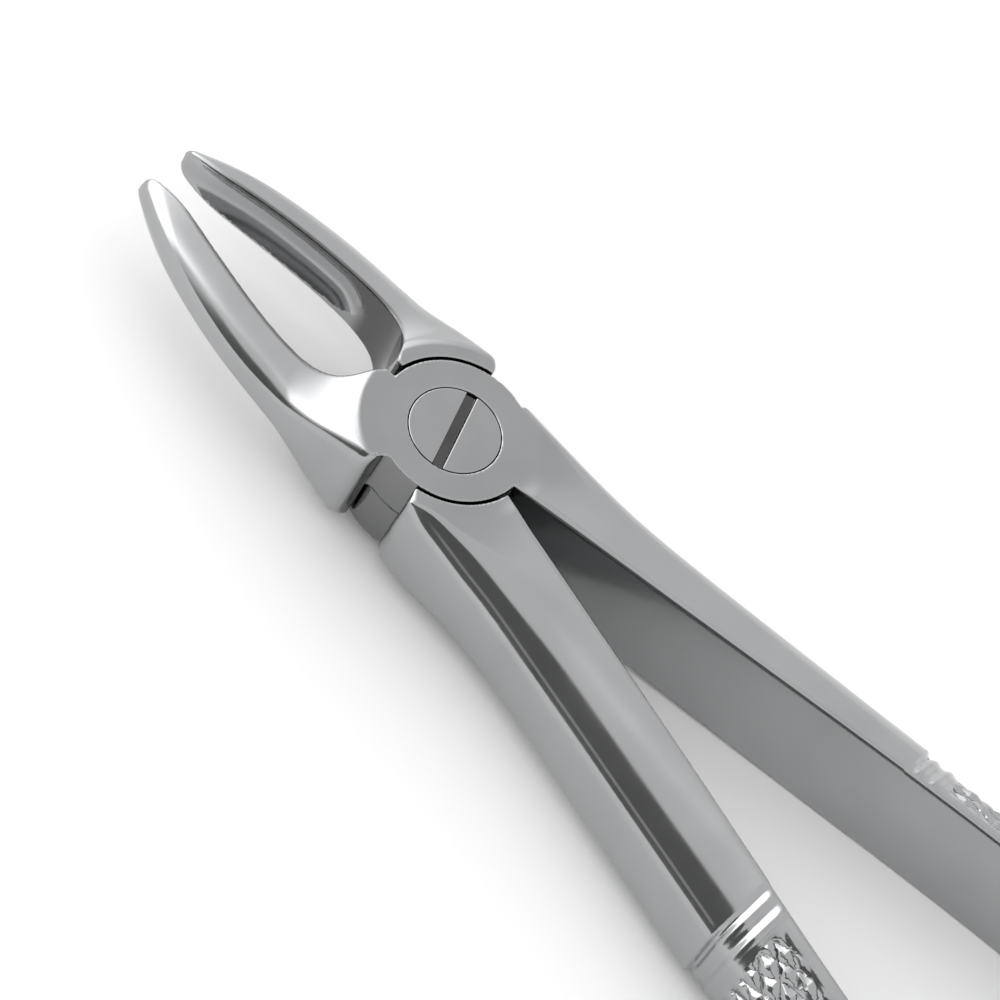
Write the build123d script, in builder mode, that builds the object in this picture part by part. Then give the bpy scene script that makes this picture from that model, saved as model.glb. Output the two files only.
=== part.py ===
from build123d import *
from math import cos, radians, sin
import os

# Extraction forceps of the English pattern, with straight slim beaks.
# Two forged halves cross in a half-lap joint and turn on one slotted screw.
#
# Frame, in millimetres: the pivot axis is Z and the joint's back face is Z = 0.
# The beaks point to +Y and the handles to -Y. Each half is drawn a little open,
# as the forceps lie at rest, so the two halves mirror each other about X = 0.

os.makedirs("parts", exist_ok=True)

# Joint
joint_depth = 12.6
mid_height = joint_depth / 2
plate_radius = 8.5
pocket_radius = 9.0
shoulder_radius = 10.8
lap_clearance = 0.06
handle_shoulder_angle = 15.6
beak_shoulder_angle = 16.0
crotch_angle = 4.0
trim_reach = 20.0
trim_margin = 5.0

# Joint screw
head_radius = 5.1
head_depth = 2.4
shank_radius = 3.4
thread_radius = 3.0
running_clearance = 0.06
slot_width = 1.2
slot_depth = 1.5
slot_saw_radius = 12.0
slot_direction = 22.0

# Handle sections, from the joint to the end. The inner face is flat, the top slopes
# down to the outer side, and a softened bevel joins the top to the flat outer face:
# (y, inner x, outer x, half depth inside, half depth outside, bevel width, bevel depth, softening)
handle_stations = [
    (-1.0, -1.0, 10.50, 6.30, 6.30, 1.2, 3.2, 0.5),
    (-8.0, 0.46, 10.45, 6.40, 6.10, 1.4, 3.0, 0.8),
    (-16.0, 2.13, 10.60, 6.70, 5.95, 1.7, 2.8, 1.4),
    (-26.0, 4.21, 11.85, 7.00, 5.90, 2.1, 2.7, 2.0),
    (-40.0, 7.12, 14.35, 7.45, 6.00, 2.5, 2.7, 2.5),
    (-60.0, 11.28, 18.00, 7.85, 6.35, 2.7, 2.8, 2.7),
    (-80.0, 14.90, 21.80, 7.90, 6.50, 2.7, 2.8, 2.7),
    (-100.0, 16.95, 24.20, 7.60, 6.30, 2.7, 2.8, 2.7),
    (-118.0, 17.30, 24.60, 7.10, 5.90, 2.6, 2.7, 2.6),
    (-130.0, 16.60, 23.50, 6.40, 5.30, 2.4, 2.5, 2.4),
]
handle_end_stations = [
    (-130.0, 16.60, 23.50, 6.40, 5.30, 2.4, 2.5, 2.4),
    (-132.8, 16.80, 22.80, 5.60, 4.60, 2.1, 2.2, 2.1),
    (-134.0, 17.90, 21.50, 4.00, 3.20, 1.2, 1.3, 1.2),
]
bottom_corner = 2.4
bottom_lift = 0.5

# The beaks' crowned outside peaks a little past the middle of each section
crown_place = 0.55
crown_fall = 0.42

# Beak sections, from the joint to the tip:
# (y, inner x, outer x, half height at the inner edge, half height at the outer edge, trough depth)
beak_stations = [
    (2.0, 1.0, 10.55, 6.30, 6.25, 0.05),
    (6.0, 2.0, 10.70, 6.25, 4.90, 0.05),
    (10.0, 3.4, 10.75, 5.75, 3.40, 0.05),
    (13.0, 5.6, 10.70, 4.50, 2.60, 0.10),
    (17.0, 6.15, 10.50, 3.85, 2.00, 0.50),
    (22.0, 5.90, 10.05, 3.70, 1.60, 1.10),
    (28.0, 5.05, 9.05, 3.65, 1.40, 1.30),
    (34.0, 3.85, 7.50, 3.40, 1.30, 1.20),
    (39.5, 2.75, 5.65, 2.90, 1.00, 0.90),
    (42.0, 2.50, 4.30, 1.90, 0.60, 0.50),
]


def handle_section(y, inner, outer, inner_half, outer_half, bevel_width, bevel_depth, softening, side):
    """One cross-section of a handle, flat inside and bevelled at its outer top edge."""
    with BuildSketch(Plane.XZ.offset(-y)) as section:
        with BuildLine():
            Polyline(
                (side * inner, mid_height - inner_half),
                (side * inner, mid_height + inner_half),
                (side * (outer - bevel_width), mid_height + outer_half),
                (side * outer, mid_height + outer_half - bevel_depth),
                (side * outer, mid_height - outer_half + bottom_lift),
                close=True,
            )
        make_face()
        upper_corners = section.vertices().sort_by(Axis.Y)[2:4]
        outer_bottom = section.vertices().group_by(Axis.X)[-1 if side > 0 else 0].sort_by(Axis.Y)[0]
        fillet(upper_corners, softening)
        fillet(outer_bottom, min(bottom_corner, softening))
    return section.sketch


def beak_section(y, inner, outer, inner_half, outer_half, trough, side):
    """One cross-section of a beak, troughed inside and crowned outside."""
    crown_x = side * (inner + crown_place * (outer - inner))
    crown_half = inner_half - crown_fall * (inner_half - outer_half)
    inner_top = (side * inner, mid_height + inner_half)
    inner_bottom = (side * inner, mid_height - inner_half)
    outer_top = (side * outer, mid_height + outer_half)
    outer_bottom = (side * outer, mid_height - outer_half)
    with BuildSketch(Plane.XZ.offset(-y)) as section:
        with BuildLine():
            ThreePointArc(inner_bottom, (side * (inner + trough), mid_height), inner_top)
            ThreePointArc(inner_top, (crown_x, mid_height + crown_half), outer_top)
            Line(outer_top, outer_bottom)
            ThreePointArc(outer_bottom, (crown_x, mid_height - crown_half), inner_bottom)
        make_face()
    return section.sketch


def point_at(angle, radius, side):
    """A plan point at an angle in degrees from the side's X direction."""
    return side * radius * cos(radians(angle)), radius * sin(radians(angle))


def handle_arm(side):
    """The handle on one side, cut back to its flat radial shoulder."""
    with BuildPart() as arm:
        loft(sections=[handle_section(*station, side) for station in handle_stations])
        loft(sections=[handle_section(*station, side) for station in handle_end_stations])
        with BuildSketch(Plane.XY.offset(-trim_margin)):
            with BuildLine():
                Polyline(
                    (0, 0),
                    point_at(-handle_shoulder_angle, trim_reach, side),
                    (side * trim_reach, trim_margin),
                    (-side * trim_margin, trim_margin),
                    (-side * trim_margin, 0),
                    close=True,
                )
            make_face()
        extrude(amount=joint_depth + 2 * trim_margin, mode=Mode.SUBTRACT)
    return arm.part


def beak_arm(side):
    """The beak on one side, with its full-depth shoulder beside the joint."""
    inner_angle = 90 - crotch_angle
    middle_angle = (beak_shoulder_angle + inner_angle) / 2
    with BuildPart() as arm:
        loft(sections=[beak_section(*station, side) for station in beak_stations])
        with BuildSketch(Plane.XY):
            with BuildLine():
                Line((0, 0), point_at(beak_shoulder_angle, shoulder_radius, side))
                ThreePointArc(
                    point_at(beak_shoulder_angle, shoulder_radius, side),
                    point_at(middle_angle, shoulder_radius, side),
                    point_at(inner_angle, shoulder_radius, side),
                )
                Line(point_at(inner_angle, shoulder_radius, side), (0, 0))
            make_face()
        extrude(amount=joint_depth)
        with BuildSketch(Plane.XY.offset(-trim_margin)):
            with BuildLine():
                Polyline(
                    (0, 0),
                    point_at(beak_shoulder_angle, trim_reach, side),
                    (side * trim_reach, -trim_margin),
                    (-side * trim_margin, -trim_margin),
                    (-side * trim_margin, 0),
                    close=True,
                )
            make_face()
        extrude(amount=joint_depth + 2 * trim_margin, mode=Mode.SUBTRACT)
    return arm.part


with BuildPart() as screw_side_half:
    # Upper plate, then a handle on +X and a beak on -X
    plate_foot = mid_height + lap_clearance / 2
    add(handle_arm(1))
    add(beak_arm(-1))
    # Lower half of the depth is cleared for the other half's plate
    with BuildSketch(Plane.XY.offset(-trim_margin)):
        Circle(pocket_radius)
    extrude(amount=plate_foot + trim_margin, mode=Mode.SUBTRACT)
    with BuildSketch(Plane.XY.offset(plate_foot)):
        Circle(plate_radius)
    extrude(amount=joint_depth - plate_foot)
    with Locations((0, 0, joint_depth)):
        CounterBoreHole(
            radius=shank_radius + running_clearance,
            counter_bore_radius=head_radius + running_clearance,
            counter_bore_depth=head_depth,
            depth=joint_depth,
        )

with BuildPart() as threaded_half:
    # Lower plate, then a beak on +X and a handle on -X
    plate_top = mid_height - lap_clearance / 2
    add(handle_arm(-1))
    add(beak_arm(1))
    # Upper half of the depth is cleared for the other half's plate
    with BuildSketch(Plane.XY.offset(plate_top)):
        Circle(pocket_radius)
    extrude(amount=joint_depth, mode=Mode.SUBTRACT)
    with BuildSketch(Plane.XY):
        Circle(plate_radius)
    extrude(amount=plate_top)
    with Locations((0, 0, plate_top)):
        Hole(radius=thread_radius, depth=joint_depth)

with BuildPart() as joint_screw:
    # Threaded end, plain shank in the upper plate, and flat head with a sawn slot
    with BuildSketch(Plane.XY):
        Circle(thread_radius)
    extrude(amount=plate_top)
    with BuildSketch(Plane.XY.offset(plate_top)):
        Circle(shank_radius)
    extrude(amount=joint_depth - head_depth - plate_top)
    with BuildSketch(Plane.XY.offset(joint_depth - head_depth)):
        Circle(head_radius)
    extrude(amount=head_depth)
    slot_plane = Plane(origin=(0, 0, joint_depth - slot_depth + slot_saw_radius),
                       x_dir=(cos(radians(slot_direction)), sin(radians(slot_direction)), 0),
                       z_dir=(-sin(radians(slot_direction)), cos(radians(slot_direction)), 0))
    with BuildSketch(slot_plane):
        Circle(slot_saw_radius)
    extrude(amount=slot_width / 2, both=True, mode=Mode.SUBTRACT)

screw_side_half.part.label = "screw_side_half"
export_step(screw_side_half.part, "parts/screw_side_half.step")
threaded_half.part.label = "threaded_half"
export_step(threaded_half.part, "parts/threaded_half.step")
joint_screw.part.label = "joint_screw"
export_step(joint_screw.part, "parts/joint_screw.step")
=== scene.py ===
from math import cos, radians, sin

import bpy
import numpy as np
from mathutils import Matrix, Vector


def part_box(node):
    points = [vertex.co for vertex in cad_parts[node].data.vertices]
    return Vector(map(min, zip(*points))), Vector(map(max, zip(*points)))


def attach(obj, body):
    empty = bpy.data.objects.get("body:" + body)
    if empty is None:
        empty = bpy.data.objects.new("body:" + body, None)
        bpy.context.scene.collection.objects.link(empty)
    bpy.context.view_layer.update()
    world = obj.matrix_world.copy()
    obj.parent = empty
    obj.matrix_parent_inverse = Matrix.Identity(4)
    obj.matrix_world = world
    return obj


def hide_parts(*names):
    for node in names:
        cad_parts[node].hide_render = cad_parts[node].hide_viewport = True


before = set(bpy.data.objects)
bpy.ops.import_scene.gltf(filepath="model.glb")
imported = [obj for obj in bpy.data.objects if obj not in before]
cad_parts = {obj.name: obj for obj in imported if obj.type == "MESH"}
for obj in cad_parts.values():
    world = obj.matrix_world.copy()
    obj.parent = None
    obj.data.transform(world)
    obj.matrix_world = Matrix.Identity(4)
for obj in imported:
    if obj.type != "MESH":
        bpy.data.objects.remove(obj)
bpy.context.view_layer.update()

# The two forged halves and the screw are remade here as fine meshes with ground and
# polished edges, finger rings and a chiselled grip. Each one is a distance field in
# millimetres, negative inside the steel, in the CAD frame but with height counted from
# the joint's middle. A pair whose name ends in stretch, heights, radii, margin or depths
# says where a change starts and where it is complete.

MM = 0.001
SEED = 11

# Joint, read from the frame
screw_low, screw_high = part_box("joint_screw")
joint_depth = (screw_high.z - screw_low.z) / MM
mid_height = joint_depth / 2
head_radius = (screw_high.x - screw_low.x) / 2 / MM
half_low, half_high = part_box("screw_side_half")
handle_end = half_low.y / MM
tip_end = half_high.y / MM
plate_radius = 8.5
pocket_radius = 8.85
hub_radius = 10.8
lap_half_gap = 0.03
head_depth = 2.4
head_clearance = 0.08
shank_radius = 3.4
shank_clearance = 0.06
shank_overlap = 0.3
thread_radius = 3.0
thread_top = 1.0
handle_shoulder_angle = radians(15.6)
beak_shoulder_angle = radians(16.0)
crotch_half_gap = 0.7
foot_fillet_size = 1.1
foot_fillet_reach = 1.32

# Roundings of machined edges
bore_rounding = 0.1
edge_rounding = 0.12
head_rounding = 0.14

# Screw slot, cut with a small saw
slot_half_width = 0.6
slot_depth = 1.5
slot_saw_radius = 12.0
slot_direction = radians(22.0)

# Handle sections: (y, inner x, outer x, half depth inside, half depth outside)
handle_stations = [
    (0.0, -1.2, 10.50, 6.30, 6.31),
    (-5.0, -0.17, 10.47, 6.31, 6.31),
    (-10.0, 0.88, 10.45, 6.45, 6.13),
    (-16.0, 2.13, 10.60, 6.70, 5.95),
    (-26.0, 4.21, 11.85, 7.00, 5.90),
    (-40.0, 7.12, 14.35, 7.45, 6.00),
    (-60.0, 11.28, 18.00, 7.85, 6.35),
    (-80.0, 14.90, 21.80, 7.90, 6.50),
    (-100.0, 16.95, 24.20, 7.60, 6.30),
    (-118.0, 17.30, 24.60, 7.10, 5.90),
    (-134.0, 16.60, 23.40, 6.30, 5.20),
]
top_margin = 2.0
flush_radii = (11.0, 8.7)
top_softenings = (0.3, 1.4)
top_softening_stretch = (-5.0, -22.0)
side_softening = 0.3
bottom_lift = 0.3
bottom_drop = 0.3
bottom_drop_stretch = (-12.0, -30.0)
bottom_softening = 1.6
inner_softenings = (0.28, 0.8)
inner_softening_heights = (-2.0, 2.0)
inner_softening_stretch = (-8.0, -14.0)
handle_end_softening = 5.5
shoulder_rounding = 0.25
shoulder_corner_roundings = (0.7, 1.5)
shoulder_corner_stretch = (8.5, 10.0)
shoulder_corner_heights = (2.0, -4.0)

# Hollow-ground bevel along the handle: (y, height of its lower edge)
bevel_stations = [
    (0.0, 7.4),
    (-3.2, 5.9),
    (-5.0, 4.75),
    (-8.0, 3.9),
    (-12.0, 3.1),
    (-16.0, 2.65),
    (-20.0, 2.25),
    (-26.0, 1.98),
    (-33.0, 1.98),
    (-57.0, 2.1),
    (-134.0, 2.0),
]
bevel_radius = 11.0
bevel_low_tilt = radians(28.0)
bevel_high_tilt = radians(50.0)
screw_side_bevel_height = 3.6

# Beak sections: (y, outer x, half height inside, half height outside, trough depth,
# trough half width, crease softening)
beak_stations = [
    (0.0, 10.50, 3.5, 2.3, 1.3, 2.9, 1.0),
    (8.0, 10.80, 3.6, 2.1, 1.3, 2.9, 1.1),
    (13.0, 10.80, 3.65, 1.8, 1.3, 2.9, 0.7),
    (17.0, 10.65, 3.7, 1.5, 1.3, 2.95, 0.3),
    (22.0, 10.30, 3.7, 1.35, 1.45, 3.1, 0.3),
    (28.0, 9.25, 3.65, 1.40, 1.50, 3.15, 0.35),
    (34.0, 7.70, 3.40, 1.50, 1.30, 2.95, 0.8),
    (39.5, 5.90, 2.85, 1.30, 0.70, 2.45, 2.3),
    (43.0, 4.10, 2.25, 0.95, 0.25, 1.90, 2.7),
]
# Inner outline of the beaks in plan: (y, x)
beak_inner_outline = [
    (9.2, 0.2),
    (10.1, 1.5),
    (11.2, 3.4),
    (12.6, 4.95),
    (14.6, 5.85),
    (17.5, 6.15),
    (22.0, 5.90),
    (28.0, 5.05),
    (34.0, 3.85),
    (39.5, 2.75),
    (42.0, 2.50),
]
sweep_length = 3.1
hub_slope = 1.1
hub_softening = 0.5
crown_slope = 0.62
crown_power = 5
crown_overrun = 1.2
crown_radii = (11.8, 17.8)
height_to_distance = 0.85
least_crease = 0.2
tip_softening = 1.9
tip_allowance = 1.5
trough_end = 17.3
trough_run = 4.5
face_softenings = (0.35, 1.05)
face_softening_stretch = (36.0, 42.0)
beak_corner_roundings = (0.2, 1.3)
beak_corner_stretch = (8.8, 10.2)

# Grip: sunk a little below the handle, with two finger rings in front
grip_start = -57.2
grip_sink = 0.42
sink_ramp = 0.8
inner_sink_share = 0.35
inner_sink_margin = (0.2, 3.6)
outer_sink_share = 1.8
outer_sink_margin = (4.0, 7.0)
ring_places = (-58.75, -60.65)
ring_height = 0.34
ring_width = 1.8
ring_margin = (0.3, 1.5)
grip_end_stretch = (-128.5, -126.0)

# Chiselled pattern: two crossing families of cuts, with facets between them
chisel_start = -61.9
chisel_end = -127.0
chisel_pitches = (2.2, 2.45)
chisel_angles = (radians(-35.0), radians(38.0))
chisel_depth = 0.42
chisel_margin = (1.3, 2.6)
wander_amount = 0.45
wander_size = 3.3
cut_strengths = (0.55, 1.45)
cut_rate = 0.8
cut_length = 2.4
family_offset = 7
cut_share = 0.7
facet_tilt = 0.5
facet_lean = 0.5
facet_wave = 2.2
facet_phase = 9
ragged_start = 1.1
ragged_middle = 0.6
start_ramp = 0.6
end_ramp = 3.0

# Painted shade on the joint's walls, on the beaks' inner faces and in the screw's slot, and a painted
# highlight line along the bevel
rim_painted_shade = 0.8
rim_radii = (9.6, 10.6)
rim_stretch = (40.0, 34.0)
rim_heights = (-1.5, 0.5)
behind_trough_stretch = (18.5, 16.5)
rim_depths = (0.6, 0.25)
wall_painted_shade = 0.6
wall_radii = (9.9, 8.9)
wall_heights = (6.24, 6.1)
shoulder_mark_depths = (0.15, 0.05)
shoulder_mark_radius = 10.7
slot_mark_margin = (0.62, 0.56)
slot_mark_heights = (6.27, 6.15)
# The painted highlight line along the bevel
highlight_line_height = 1.1
highlight_line_scale = 0.5
highlight_line_margin = (4.0, 3.0)
highlight_line_stretch = (-5.0, -9.0)
highlight_line_fade = 1.0

# Grids that the fields are sampled on. The long plain stretch of the handles is coarse.
# The beak tips reach 0.3 mm past the end of the grid, so each has a small hole there. A
# grid_margin of 1.2 closes them.
fine_spacing = 0.22
grip_spacing = fine_spacing * 1.15
plain_spacing = 0.6
screw_spacing = 0.13
thread_spacing = 0.4
grid_across = (-11.4, 25.4)
grid_half_height = 8.3
grid_margin = 0.6
grip_lead = 1.5
plain_end = -13.0
screw_margin = 0.3
screw_fine_height = 3.2

# Floor, in metres
floor_reach = 3.0
floor_gap = 0.0002
floor_white = 0.93
floor_roughness = 0.9

# View. The shifts put the joint where it is in the picture.
view_width = 104.17
view_shift_right = 4.677
view_shift_down = 7.29
camera_distance = 750.0
sensor_width = 36.0

# Steel: scales of the noises, which are per metre, and the colours of its painted shade and painted
# highlight
cloud_scale = 90.0
gloss_scale = 260.0
grain_scale = 5200.0
grain_strength = 0.03
grain_height = 0.00006
noise_limits = (0.3, 0.7)
# Colour of the painted shade on the joint's walls, the beaks' inner faces and the screw's slot
painted_shade_colour = (0.09, 0.09, 0.092)
# Colour of the painted highlight line along the bevel
painted_highlight_colour = (0.95, 0.95, 0.96)
line_outside = (0.40, 0.60)
line_inside = (0.47, 0.53)

# Studio: an even ceiling with a slightly darker gap, a bright panel behind the tool and a
# dark one at its left. Azimuths and elevations are in degrees, softness is in their sines.
ceiling_strength = 0.95
gap_strength = 0.7
gap_direction = (0.561, 0.155, 0.813)
gap_cosine = 0.988
gap_softness = 0.012
bright_strength = 2.7
bright_azimuths = (45, 137)
bright_top = 55
bright_side_softness = (0.45, 0.04)
bright_top_softness = 0.17
dark_strength = 0.16
dark_azimuths = (146, 215)
dark_top = 43
dark_side_softness = (0.03, 0.1)
dark_top_softness = 0.02


def natural_spline(stations, spacing=0.02):
    """A fine table (y, columns) of the natural cubic spline through the stations."""
    rows = np.array(sorted(stations), float)
    y, values = rows[:, 0], rows[:, 1:]
    n = len(y)
    step = np.diff(y)
    slope = np.diff(values, axis=0) / step[:, None]
    matrix = np.eye(n)
    right = np.zeros_like(values)
    for i in range(1, n - 1):
        matrix[i, i - 1:i + 2] = step[i - 1], 2 * (step[i - 1] + step[i]), step[i]
        right[i] = 6 * (slope[i] - slope[i - 1])
    curvature = np.linalg.solve(matrix, right)
    fine = np.arange(y[0], y[-1] + spacing / 2, spacing)
    k = np.clip(np.searchsorted(y, fine) - 1, 0, n - 2)
    t, h = (fine - y[k])[:, None], step[k][:, None]
    table = (
        values[k]
        + t * (slope[k] - h * (2 * curvature[k] + curvature[k + 1]) / 6)
        + t ** 2 * curvature[k] / 2
        + t ** 3 * (curvature[k + 1] - curvature[k]) / (6 * h)
    )
    return fine, table


handle_table = natural_spline(handle_stations)
bevel_table = natural_spline(bevel_stations)
beak_table = natural_spline(beak_stations)
inner_table = natural_spline(beak_inner_outline)
inner_slope = np.gradient(inner_table[1][:, 0], inner_table[0])


def look_up(table, y):
    return [np.interp(y, table[0], table[1][:, i]) for i in range(table[1].shape[1])]


def smooth_max(a, b, k):
    """The larger of two fields, rounded over where they differ by less than k."""
    h = np.maximum(k - np.abs(a - b), 0) / k
    return np.maximum(a, b) + h * h * k / 4


def smooth_min(a, b, k):
    return -smooth_max(-a, -b, k)


def smooth_step(start, end, v):
    """0 at the start, 1 at the end, and a soft change between. The end may be the lower."""
    t = np.clip((v - start) / (end - start), 0, 1)
    return t * t * (3 - 2 * t)


def blend(pair, share):
    return pair[0] + (pair[1] - pair[0]) * share


def slanted(x, z, x0, z0, x1, z1):
    """Distance above the line from (x0, z0) to (x1, z1), outward up and to the right."""
    length = np.hypot(x1 - x0, z1 - z0)
    return ((x - x0) * (z0 - z1) + (z - z0) * (x1 - x0)) / length


def random_cells(seed):
    return np.random.default_rng(seed).random((64, 64))


def value_noise(u, v, seed):
    """Smooth random values between 0 and 1 over a plane, the same at every run."""
    cells = random_cells(seed)
    iu, iv = np.floor(u).astype(int), np.floor(v).astype(int)
    fu, fv = u - iu, v - iv
    fu, fv = fu * fu * (3 - 2 * fu), fv * fv * (3 - 2 * fv)
    a, b = cells[iu % 64, iv % 64], cells[(iu + 1) % 64, iv % 64]
    c, d = cells[iu % 64, (iv + 1) % 64], cells[(iu + 1) % 64, (iv + 1) % 64]
    return (a * (1 - fu) + b * fu) * (1 - fv) + (c * (1 - fu) + d * fu) * fv


def cell_value(i, j, seed):
    """One random value for each cell of a plane."""
    return random_cells(seed)[i.astype(int) % 64, j.astype(int) % 64]


def grip_sinking(from_inner, y):
    """How far the ground gripping stretch lies below the smooth handle."""
    share = blend((inner_sink_share, 1.0), smooth_step(*inner_sink_margin, from_inner))
    share = share * blend((1.0, outer_sink_share), smooth_step(*outer_sink_margin, from_inner))
    return grip_sink * share * smooth_step(0.0, sink_ramp, grip_start - y)


def ring_swell(from_inner, y):
    """Height of the two finger rings, which fade out before the inner face."""
    swell = 0
    for place in ring_places:
        phase = np.clip((y - place) / ring_width, -0.5, 0.5) * np.pi
        swell = swell + np.cos(phase) ** 2
    return ring_height * swell * smooth_step(*ring_margin, from_inner)


def chisel_cuts(around, y):
    """Depth of the cuts, and the two row numbers of the facet between them."""
    wander = wander_amount * (value_noise(y / wander_size, around / wander_size, SEED) - 0.5)
    cuts = np.zeros_like(around)
    facet = []
    for family, (pitch, angle) in enumerate(zip(chisel_pitches, chisel_angles)):
        across = (around * cos(angle) + y * sin(angle)) / pitch + wander
        row = np.floor(across)
        facet.append(row)
        along = across * cut_rate + family_offset * family
        depth = blend(cut_strengths, value_noise(along, y / cut_length, SEED + 1 + family))
        from_edge = 1 - np.abs(across - row - 0.5) * 2
        cuts = np.maximum(cuts, depth * np.clip(1 - from_edge / cut_share, 0, 1))
    return cuts, facet


def chisel_relief(from_inner, around, y):
    """Depth of the chiselled pattern. Each facet has its own small tilt."""
    cuts, facet = chisel_cuts(around, y)
    tilt = cell_value(*facet, SEED + 5) - 0.5
    lean = cell_value(*facet, SEED + 6) - 0.5
    wave = np.sin(y * facet_wave + facet_phase * tilt)
    depth = chisel_depth * (cuts + facet_tilt * tilt + facet_lean * lean * wave)
    ragged = value_noise(around / 3, around * 0 + 0.5, SEED + 9) - ragged_middle
    start = chisel_start + ragged_start * ragged
    ends = smooth_step(0.0, start_ramp, start - y) * smooth_step(0.0, end_ramp, y - chisel_end)
    return depth * ends * smooth_step(*chisel_margin, from_inner)


def grip_relief(x, y, z, inner, half_depth):
    """How far the gripping surface stands below (positive) the smooth handle."""
    from_inner = x - inner
    around = from_inner + (half_depth - z)
    smooth = grip_sinking(from_inner, y) - ring_swell(from_inner, y)
    smooth = smooth * smooth_step(*grip_end_stretch, y)
    return smooth + chisel_relief(from_inner, around, y)


def bevel_edge(y, side):
    """Height of the bevel's lower edge, which is the same all along the screw side's handle."""
    if side > 0:
        return np.full_like(y, screw_side_bevel_height)
    return look_up(bevel_table, y)[0]


def bevel_field(x, z, outer, edge):
    """The bevel: a wide arc that starts at a sharp edge with the flat side face."""
    from_x = x - (outer - bevel_radius * cos(bevel_low_tilt))
    from_z = z - (edge - bevel_radius * sin(bevel_low_tilt))
    tilt = np.clip(np.arctan2(from_z, from_x), bevel_low_tilt, bevel_high_tilt)
    return from_x * np.cos(tilt) + from_z * np.sin(tilt) - bevel_radius


def handle_top(x, y, z, side):
    """Top, bevel and side of a handle. The top is flush with the plate beside the joint."""
    inner, outer, inner_half, outer_half = look_up(handle_table, y)
    top = slanted(x, z, inner, inner_half, outer - top_margin, outer_half)
    top = top + (z - mid_height - top) * smooth_step(*flush_radii, np.hypot(x, y))
    softening = blend(top_softenings, smooth_step(*top_softening_stretch, y))
    top = smooth_max(top, bevel_field(x, z, outer, bevel_edge(y, side)), softening)
    return smooth_max(top, x - outer, side_softening)


def handle_shoulder(body, x, y, z):
    """The body cut back to its flat radial shoulder, with a rounded outer corner."""
    shoulder = x * sin(handle_shoulder_angle) + y * cos(handle_shoulder_angle)
    corner = blend(shoulder_corner_roundings, smooth_step(*shoulder_corner_heights, z))
    corner = shoulder_rounding + corner * smooth_step(*shoulder_corner_stretch, x)
    return smooth_max(body, shoulder, corner)


def handle_field(x, y, z, side):
    """A handle that lies on +x. side is 1 for the screw side's handle and -1 for the other."""
    inner, outer, inner_half, outer_half = look_up(handle_table, y)
    drop = bottom_drop * smooth_step(*bottom_drop_stretch, y)
    bottom = slanted(x, -z, inner, inner_half + drop, outer, outer_half - bottom_lift + drop)
    body = smooth_max(handle_top(x, y, z, side), bottom, bottom_softening)
    body = body + grip_relief(x, y, z, inner, inner_half)
    soft = smooth_step(*inner_softening_heights, z) * smooth_step(*inner_softening_stretch, y)
    body = smooth_max(body, inner - x, blend(inner_softenings, soft))
    body = smooth_max(body, handle_end - y, handle_end_softening)
    return handle_shoulder(body, x, y, z)


def beak_top(x, y, inner, outer, inner_half, outer_half):
    """Half the beak's height: full beside the joint, then sweeping down to a crowned blade."""
    r = np.hypot(x, y)
    sweep = np.exp(-np.maximum(r - hub_radius, 0) / sweep_length)
    spine = inner_half + (mid_height - inner_half) * sweep + hub_slope * np.maximum(hub_radius - r, 0)
    u = np.clip((x - inner) / (outer - inner), 0, crown_overrun)
    crown = (inner_half - outer_half) * (crown_slope * u + (1 - crown_slope) * u ** crown_power)
    spine = spine - crown * smooth_step(*crown_radii, r)
    return smooth_min(spine, mid_height, hub_softening)


def beak_face(x, y, z, inner, trough, trough_half):
    """The inner face with its trough, which has a rounded end towards the joint."""
    lean = np.interp(y, inner_table[0], inner_slope)
    lean = np.where(inner > crotch_half_gap, lean, 0)
    from_end = np.clip((trough_end + trough_run - y) / trough_run, 0, 2)
    scoop = trough * np.clip(1 - (z / trough_half) ** 2 - from_end ** 2, 0, 1)
    return (inner + scoop - x) / np.sqrt(1 + lean ** 2)


def beak_field(x, y, z):
    """A beak that lies on +x, with its full-depth shoulder beside the joint."""
    outer, inner_half, outer_half, trough, trough_half, crease = look_up(beak_table, y)
    inner = np.maximum(look_up(inner_table, y)[0], crotch_half_gap)
    top = beak_top(x, y, inner, outer, inner_half, outer_half)
    upper = (np.abs(z) - top) * height_to_distance
    body = smooth_max(upper, x - outer, np.maximum(crease, least_crease))
    body = smooth_max(body, y - tip_end - tip_allowance, tip_softening)
    face = beak_face(x, y, z, inner, trough, trough_half)
    body = smooth_max(body, face, blend(face_softenings, smooth_step(*face_softening_stretch, y)))
    shoulder = x * sin(beak_shoulder_angle) - y * cos(beak_shoulder_angle)
    corner = blend(beak_corner_roundings, smooth_step(*beak_corner_stretch, x))
    return smooth_max(body, shoulder, corner)


def foot_fillet(x, y, own, angle):
    """The concave fillet where a plate's wall runs into a shoulder at this angle."""
    r = np.hypot(x, y)
    foot_x, foot_y = plate_radius * cos(angle), plate_radius * sin(angle)
    shoulder = x * sin(angle) - y * cos(angle)
    corner = smooth_min(r - plate_radius, shoulder, foot_fillet_size)
    corner = np.maximum(corner, np.hypot(x - foot_x, y - foot_y) - foot_fillet_reach)
    return np.maximum(smooth_max(corner, own - mid_height, edge_rounding), lap_half_gap - own)


def arms_field(x, y, z, r, level):
    """Handle and beak of one forging, cleared round the other forging's plate."""
    handle = handle_field(level * x, y, z, level)
    beak = beak_field(-level * x, y, z)
    pocket = smooth_max(r - pocket_radius, level * z - lap_half_gap, bore_rounding)
    return smooth_max(np.minimum(handle, beak), -pocket, edge_rounding)


def plate_field(r, own):
    plate = smooth_max(r - plate_radius, own - mid_height, edge_rounding)
    return np.maximum(plate, lap_half_gap - own)


def counterbore(r, z):
    """Positive inside the counterbore for the screw's head."""
    return np.minimum(head_radius + head_clearance - r, z - (mid_height - head_depth))


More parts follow.
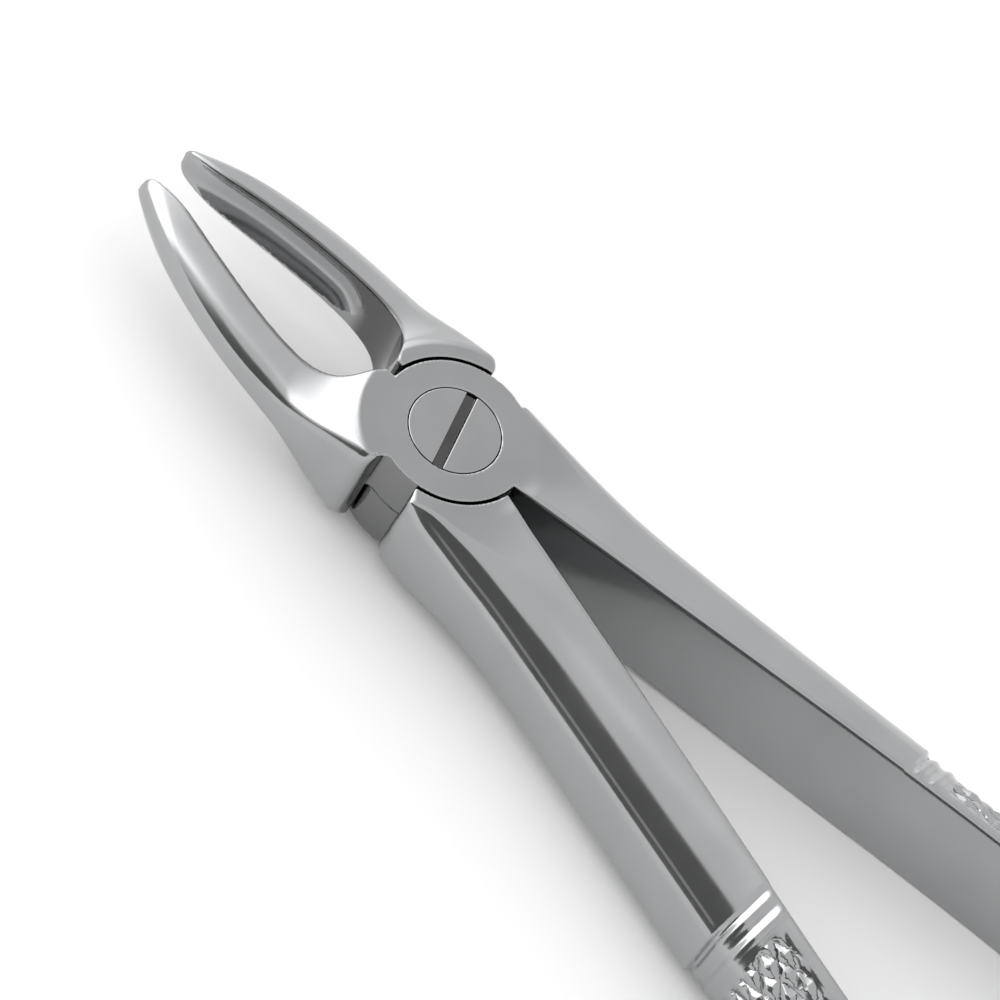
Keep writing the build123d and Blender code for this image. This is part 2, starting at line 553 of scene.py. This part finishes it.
def half_field(level):
    """One forging. level is 1 for the screw side, whose plate is on top, and -1 for the other."""

    def field(x, y, z):
        r = np.hypot(x, y)
        own = level * z
        body = np.minimum(arms_field(x, y, z, r, level), plate_field(r, own))
        body = np.minimum(body, foot_fillet(-level * x, y, own, beak_shoulder_angle))
        if level < 0:
            return smooth_max(body, thread_radius - r, bore_rounding)
        body = smooth_max(body, shank_radius + shank_clearance - r, bore_rounding)
        return smooth_max(body, counterbore(r, z), head_rounding)

    return field


def slot_field(x, y, z):
    """The sawn slot, with its round bottom."""
    along = x * cos(slot_direction) + y * sin(slot_direction)
    across = -x * sin(slot_direction) + y * cos(slot_direction)
    saw_centre = mid_height - slot_depth + slot_saw_radius
    saw = np.hypot(along, z - saw_centre) - slot_saw_radius
    return np.maximum(saw, np.abs(across) - slot_half_width)


def screw_field(x, y, z):
    """Flat slotted head, plain shank and threaded end."""
    r = np.hypot(x, y)
    head_foot = mid_height - head_depth
    head = smooth_max(r - head_radius, z - mid_height, head_rounding)
    head = np.maximum(head, head_foot - z)
    shank = np.maximum(r - shank_radius, lap_half_gap - z)
    shank = np.maximum(shank, z - (head_foot + shank_overlap))
    thread = smooth_max(r - thread_radius, -z - mid_height, bore_rounding)
    thread = np.maximum(thread, z - thread_top)
    body = np.minimum(np.minimum(head, shank), thread)
    return smooth_max(body, -slot_field(x, y, z), edge_rounding)


def gradient(field, points, step=0.01):
    parts = []
    for axis in range(3):
        offset = np.zeros(3)
        offset[axis] = step
        ahead, behind = points + offset, points - offset
        parts.append(field(*ahead.T) - field(*behind.T))
    return np.stack(parts, 1) / (2 * step)


def crossings(values, lines, axis):
    """Grid edges along one axis that cross the surface: their four cells, place and direction."""
    low, high = [slice(None)] * 3, [slice(None)] * 3
    low[axis] = slice(0, -1)
    high[axis] = slice(1, None)
    inside = values < 0
    index = np.argwhere(inside[tuple(low)] != inside[tuple(high)])
    u, v = (axis + 1) % 3, (axis + 2) % 3
    safe = (index[:, u] > 0) & (index[:, v] > 0)
    safe &= (index[:, u] < values.shape[u] - 1) & (index[:, v] < values.shape[v] - 1)
    index = index[safe]
    ahead = index.copy()
    ahead[:, axis] += 1
    a, b = values[tuple(index.T)], values[tuple(ahead.T)]
    place = np.stack([line[index[:, i]] for i, line in enumerate(lines)], 1)
    run = lines[axis][ahead[:, axis]] - lines[axis][index[:, axis]]
    place[:, axis] += a / (a - b) * run
    corners = []
    for du, dv in ((0, 0), (-1, 0), (-1, -1), (0, -1)):
        cell = index.copy()
        cell[:, u] += du
        cell[:, v] += dv
        corners.append(np.ravel_multi_index(tuple(cell.T), values.shape))
    return np.stack(corners, 1), place, a > 0


def settle(field, points, rounds=4, least_slope=0.05, longest_step=0.12, tiny=1e-9):
    """The points moved along the field's slope until they lie on its zero surface."""
    for _ in range(rounds):
        slope = gradient(field, points)
        move = field(*points.T) / np.maximum((slope ** 2).sum(1), least_slope)
        shift = slope * move[:, None]
        size = np.linalg.norm(shift, axis=1, keepdims=True)
        points = points - shift * np.minimum(1, longest_step / np.maximum(size, tiny))
    return points


def surface_net(field, xs, ys, zs):
    """Points, quads and normals of the field's zero surface."""
    values = field(xs[:, None, None], ys[None, :, None], zs[None, None, :]).astype(np.float32)
    found = [crossings(values, (xs, ys, zs), axis) for axis in range(3)]
    cells, places, flips = [np.concatenate(parts) for parts in zip(*found)]
    used, quads = np.unique(cells, return_inverse=True)
    quads = quads.reshape(-1, 4)
    count = np.bincount(quads.ravel(), minlength=len(used))
    centres = [np.bincount(quads.ravel(), np.repeat(places[:, i], 4), len(used)) / count
               for i in range(3)]
    quads[flips] = quads[flips][:, ::-1]
    points = settle(field, np.stack(centres, 1))
    normals = gradient(field, points, 0.02)
    normals /= np.maximum(np.linalg.norm(normals, axis=1, keepdims=True), 1e-9)
    return points, quads, normals


def fine_mesh(name, points, quads, normals):
    """A smooth mesh in metres, in the CAD frame, that is lit by the field's own normals."""
    mesh = bpy.data.meshes.new(name)
    placed = (points + np.array([0, 0, mid_height])) * MM
    mesh.vertices.add(len(placed))
    mesh.vertices.foreach_set("co", placed.astype(np.float32).ravel())
    mesh.loops.add(quads.size)
    mesh.loops.foreach_set("vertex_index", quads.astype(np.int32).ravel())
    mesh.polygons.add(len(quads))
    mesh.polygons.foreach_set("loop_start", np.arange(0, quads.size, 4, dtype=np.int32))
    mesh.update(calc_edges=True)
    mesh.validate()
    mesh.shade_smooth()
    mesh.normals_split_custom_set_from_vertices([tuple(n) for n in normals])
    return mesh


def make_piece(name, field, grid, body, node, material, marks):
    """A finished piece of steel that stands for a CAD node."""
    points, quads, normals = surface_net(field, *grid)
    mesh = fine_mesh(name, points, quads, normals)
    for mark, values in marks:
        layer = mesh.attributes.new(mark, "FLOAT", "POINT")
        layer.data.foreach_set("value", values(*points.T).astype(np.float32))
    mesh.materials.append(material)
    piece = bpy.data.objects.new(name, mesh)
    bpy.context.scene.collection.objects.link(piece)
    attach(piece, body)
    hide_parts(node)


def stepped(*stretches):
    """Grid lines over stretches of (start, end, spacing)."""
    lines = [np.arange(start, end, spacing) for start, end, spacing in stretches]
    return np.concatenate(lines + [[stretches[-1][1]]])


def joint_wall_shade(x, y, z):
    """Painted shade on the walls inside the joint and on the shoulder faces beside them."""
    r = np.hypot(x, y)
    below_face = smooth_step(*wall_heights, np.abs(z))
    wall = smooth_step(*wall_radii, r) * below_face
    shoulder = np.abs(np.abs(x) * sin(beak_shoulder_angle) - np.abs(y) * cos(beak_shoulder_angle))
    face = smooth_step(*shoulder_mark_depths, shoulder) * below_face * (r < shoulder_mark_radius)
    return wall_painted_shade * np.maximum(wall, face)


def beak_rim_shade(x, y, z):
    """Painted shade on the inner face of a beak that lies on +x, behind the trough and above it."""
    inner = look_up(inner_table, y)[0]
    along = smooth_step(*rim_radii, np.hypot(x, y)) * smooth_step(*rim_stretch, y)
    beside = np.maximum(smooth_step(*rim_heights, z), smooth_step(*behind_trough_stretch, y))
    return rim_painted_shade * smooth_step(*rim_depths, x - inner) * along * beside * (x > 0)


def highlight_line_place(y, z, side):
    """0.5 along the painted highlight line on the bevel."""
    return 0.5 + highlight_line_scale * (z - bevel_edge(y, side) - highlight_line_height)


def highlight_line_strength(x, y, side):
    """1 on the bevel and 0 elsewhere, so that the painted highlight line stays on the bevel."""
    outer = look_up(handle_table, y)[1]
    across = smooth_step(*highlight_line_margin, outer - side * x)
    before_grip = smooth_step(grip_start, grip_start + highlight_line_fade, y)
    return across * smooth_step(*highlight_line_stretch, y) * before_grip


def painted_light_marks(side):
    """Where one forging has painted shade, and where its painted highlight line runs."""
    return [
        ("painted_shade", lambda x, y, z: np.maximum(joint_wall_shade(x, y, z), beak_rim_shade(-side * x, y, z))),
        ("line_height", lambda x, y, z: highlight_line_place(y, z, side)),
        ("line_strength", lambda x, y, z: highlight_line_strength(x, y, side)),
    ]


def slot_wall_shade(x, y, z):
    """Painted shade on the walls and bottom of the screw's slot."""
    across = -x * sin(slot_direction) + y * cos(slot_direction)
    return smooth_step(*slot_mark_margin, np.abs(across)) * smooth_step(*slot_mark_heights, z)


def new_material(name):
    material = bpy.data.materials.new(name)
    material.use_nodes = True
    nodes = material.node_tree.nodes
    return material, nodes, material.node_tree.links, nodes["Principled BSDF"]


def add_noise(nodes, links, coordinates, scale, detail, low, high):
    """Noise, and the same noise spread from low to high."""
    noise = nodes.new("ShaderNodeTexNoise")
    noise.inputs["Scale"].default_value = scale
    noise.inputs["Detail"].default_value = detail
    spread = nodes.new("ShaderNodeMapRange")
    spread.inputs["From Min"].default_value = noise_limits[0]
    spread.inputs["From Max"].default_value = noise_limits[1]
    spread.inputs["To Min"].default_value = low
    spread.inputs["To Max"].default_value = high
    links.new(coordinates.outputs["Object"], noise.inputs["Vector"])
    links.new(noise.outputs["Fac"], spread.inputs["Value"])
    return noise, spread


def read_mark(nodes, name):
    mark = nodes.new("ShaderNodeAttribute")
    mark.attribute_name = name
    return mark.outputs["Fac"]


def mix_colour(nodes, links, share, base, colour):
    """The base colour, changed to another colour where the share is 1."""
    mix = nodes.new("ShaderNodeMix")
    mix.data_type = "RGBA"
    mix.inputs["B"].default_value = (*colour, 1)
    links.new(share, mix.inputs["Factor"])
    links.new(base, mix.inputs["A"])
    return mix.outputs["Result"]


def cloudy_tone(nodes, links, coordinates, dark, light):
    """Soft clouds between two tones of steel."""
    _, tone = add_noise(nodes, links, coordinates, cloud_scale, 3.0, 0.0, 1.0)
    ramp = nodes.new("ShaderNodeValToRGB")
    ramp.color_ramp.elements[0].color = (*dark, 1)
    ramp.color_ramp.elements[1].color = (*light, 1)
    links.new(tone.outputs["Result"], ramp.inputs["Fac"])
    return ramp.outputs["Color"]


def painted_highlight_line(nodes, links):
    """1 along the painted highlight line on the bevel, with soft edges."""
    line = nodes.new("ShaderNodeValToRGB")
    first, last = line.color_ramp.elements
    first.position, last.position = line_outside
    first.color = (0, 0, 0, 1)
    last.color = (0, 0, 0, 1)
    for place in line_inside:
        line.color_ramp.elements.new(place).color = (1, 1, 1, 1)
    links.new(read_mark(nodes, "line_height"), line.inputs["Fac"])
    on_bevel = nodes.new("ShaderNodeMath")
    on_bevel.operation = "MULTIPLY"
    links.new(line.outputs["Color"], on_bevel.inputs[0])
    links.new(read_mark(nodes, "line_strength"), on_bevel.inputs[1])
    return on_bevel.outputs["Value"]


def steel_material(name, dark, light, rough_low, rough_high):
    """Polished stainless steel: fine grain, cloudy tone, patchy gloss, painted shade in recesses, and
    a painted highlight line.
    """
    material, nodes, links, shader = new_material(name)
    shader.inputs["Metallic"].default_value = 1.0
    coordinates = nodes.new("ShaderNodeTexCoord")
    colour = cloudy_tone(nodes, links, coordinates, dark, light)
    # Painted shade in the recesses
    colour = mix_colour(nodes, links, read_mark(nodes, "painted_shade"), colour, painted_shade_colour)
    # Painted highlight line along the bevel
    colour = mix_colour(nodes, links, painted_highlight_line(nodes, links), colour, painted_highlight_colour)
    links.new(colour, shader.inputs["Base Color"])
    _, gloss = add_noise(nodes, links, coordinates, gloss_scale, 4.0, rough_low, rough_high)
    links.new(gloss.outputs["Result"], shader.inputs["Roughness"])
    grain, _ = add_noise(nodes, links, coordinates, grain_scale, 2.0, 0.0, 1.0)
    bump = nodes.new("ShaderNodeBump")
    bump.inputs["Strength"].default_value = grain_strength
    bump.inputs["Distance"].default_value = grain_height
    links.new(grain.outputs["Fac"], bump.inputs["Height"])
    links.new(bump.outputs["Normal"], shader.inputs["Normal"])
    return material


# Steel
forged_steel = steel_material("forged_steel", (0.385, 0.39, 0.395), (0.425, 0.43, 0.435), 0.13, 0.18)
screw_steel = steel_material("screw_steel", (0.36, 0.365, 0.37), (0.40, 0.405, 0.41), 0.2, 0.26)

# The two forgings
half_across = stepped((*grid_across, fine_spacing))
half_along = stepped(
    (handle_end - grid_margin, grip_start + grip_lead, grip_spacing),
    (grip_start + grip_lead, plain_end, plain_spacing),
    (plain_end, tip_end + grid_margin, fine_spacing),
)
half_up = stepped((-grid_half_height, grid_half_height, fine_spacing))
make_piece("screw_side_forging", half_field(1), (half_across, half_along, half_up),
           "screw_side_half", "screw_side_half", forged_steel, painted_light_marks(1))
make_piece("threaded_forging", half_field(-1), (-half_across[::-1], half_along, half_up),
           "threaded_half", "threaded_half", forged_steel, painted_light_marks(-1))

# The screw turns with the threaded half
screw_across = stepped((-head_radius - screw_margin, head_radius + screw_margin, screw_spacing))
screw_up = stepped(
    (-mid_height - screw_margin, mid_height - screw_fine_height, thread_spacing),
    (mid_height - screw_fine_height, mid_height + screw_margin, screw_spacing),
)
# The walls and bottom of the screw's slot get painted shade
make_piece("slotted_screw", screw_field, (screw_across, screw_across, screw_up),
           "threaded_half", "joint_screw", screw_steel, [("painted_shade", slot_wall_shade)])

# Floor
floor_height = min(half_low.z, 0.0) - floor_gap
floor_corners = [(-1, -1), (1, -1), (1, 1), (-1, 1)]
floor_mesh = bpy.data.meshes.new("floor")
floor_mesh.from_pydata(
    [(x * floor_reach, y * floor_reach, floor_height) for x, y in floor_corners], [], [(0, 1, 2, 3)])
floor = bpy.data.objects.new("floor", floor_mesh)
bpy.context.scene.collection.objects.link(floor)
floor_material, _, _, floor_shader = new_material("floor_paint")
floor_shader.inputs["Base Color"].default_value = (floor_white, floor_white, floor_white, 1)
floor_shader.inputs["Roughness"].default_value = floor_roughness
floor_shader.inputs["Specular IOR Level"].default_value = 0.0
floor_mesh.materials.append(floor_material)

# Camera: 54 degrees above the floor, rolled so that the tool runs from the upper left
# to the lower right
to_camera = Vector((-0.5613, -0.1546, 0.8130)).normalized()
camera_up = Vector((0.5007, 0.7185, 0.4827)).normalized()
camera_right = camera_up.cross(to_camera).normalized()
camera_up = to_camera.cross(camera_right).normalized()
joint_top = Vector((0, 0, joint_depth * MM))
view_centre = joint_top + camera_right * view_shift_right * MM - camera_up * view_shift_down * MM
camera_axes = Matrix((camera_right, camera_up, to_camera)).transposed().to_4x4()
camera_data = bpy.data.cameras.new("camera")
camera_data.sensor_width = sensor_width
camera_data.lens = sensor_width * camera_distance / view_width
camera = bpy.data.objects.new("camera", camera_data)
camera_place = Matrix.Translation(view_centre + to_camera * camera_distance * MM)
camera.matrix_world = camera_place @ camera_axes
bpy.context.scene.collection.objects.link(camera)
bpy.context.scene.camera = camera


def horizontal(azimuth):
    """The level direction at an azimuth in degrees."""
    return (cos(radians(azimuth)), sin(radians(azimuth)), 0.0)


def edge_of_light(nodes, links, direction, toward, place, softness):
    """1 on the side of a plane through the scene that faces a direction, and 0 on the other."""
    aim = nodes.new("ShaderNodeVectorMath")
    aim.operation = "DOT_PRODUCT"
    aim.inputs[1].default_value = toward
    links.new(direction, aim.inputs[0])
    spread = nodes.new("ShaderNodeMapRange")
    spread.interpolation_type = "SMOOTHSTEP"
    spread.inputs["From Min"].default_value = place - softness
    spread.inputs["From Max"].default_value = place + softness
    links.new(aim.outputs["Value"], spread.inputs["Value"])
    return spread.outputs["Result"]


def studio_panel(nodes, links, direction, azimuths, top, side_softness, top_softness):
    """A panel that stands on the horizon between two azimuths and reaches up to an elevation."""
    edges = [
        (horizontal(azimuths[0] + 90), 0.0, side_softness[0]),
        (horizontal(azimuths[1] - 90), 0.0, side_softness[1]),
        ((0.0, 0.0, -1.0), -sin(radians(top)), top_softness),
    ]
    product = edge_of_light(nodes, links, direction, *edges[0])
    for edge in edges[1:]:
        multiply = nodes.new("ShaderNodeMath")
        multiply.operation = "MULTIPLY"
        links.new(product, multiply.inputs[0])
        links.new(edge_of_light(nodes, links, direction, *edge), multiply.inputs[1])
        product = multiply.outputs["Value"]
    return product


def hang_panel(nodes, links, light, panel, strength):
    """The light with a panel of its own strength in front of it."""
    mix = nodes.new("ShaderNodeMix")
    links.new(panel, mix.inputs["Factor"])
    links.new(light, mix.inputs["A"])
    mix.inputs["B"].default_value = strength
    return mix.outputs["Result"]


def ceiling_light(nodes, links, direction):
    """Even light from above, a little weaker towards one gap."""
    gap = edge_of_light(nodes, links, direction, gap_direction, gap_cosine, gap_softness)
    light = nodes.new("ShaderNodeMapRange")
    light.inputs["To Min"].default_value = ceiling_strength
    light.inputs["To Max"].default_value = gap_strength
    links.new(gap, light.inputs["Value"])
    return light.outputs["Result"]


def studio_world():
    world = bpy.data.worlds.new("studio")
    bpy.context.scene.world = world
    world.use_nodes = True
    nodes, links = world.node_tree.nodes, world.node_tree.links
    direction = nodes.new("ShaderNodeTexCoord").outputs["Generated"]
    light = ceiling_light(nodes, links, direction)
    bright = studio_panel(nodes, links, direction, bright_azimuths, bright_top,
                          bright_side_softness, bright_top_softness)
    dark = studio_panel(nodes, links, direction, dark_azimuths, dark_top,
                        dark_side_softness, dark_top_softness)
    light = hang_panel(nodes, links, light, bright, bright_strength)
    light = hang_panel(nodes, links, light, dark, dark_strength)
    links.new(light, nodes["Background"].inputs["Strength"])
    nodes["Background"].inputs["Color"].default_value = (1, 1, 1, 1)


studio_world()
bpy.context.scene.view_settings.view_transform = "Standard"
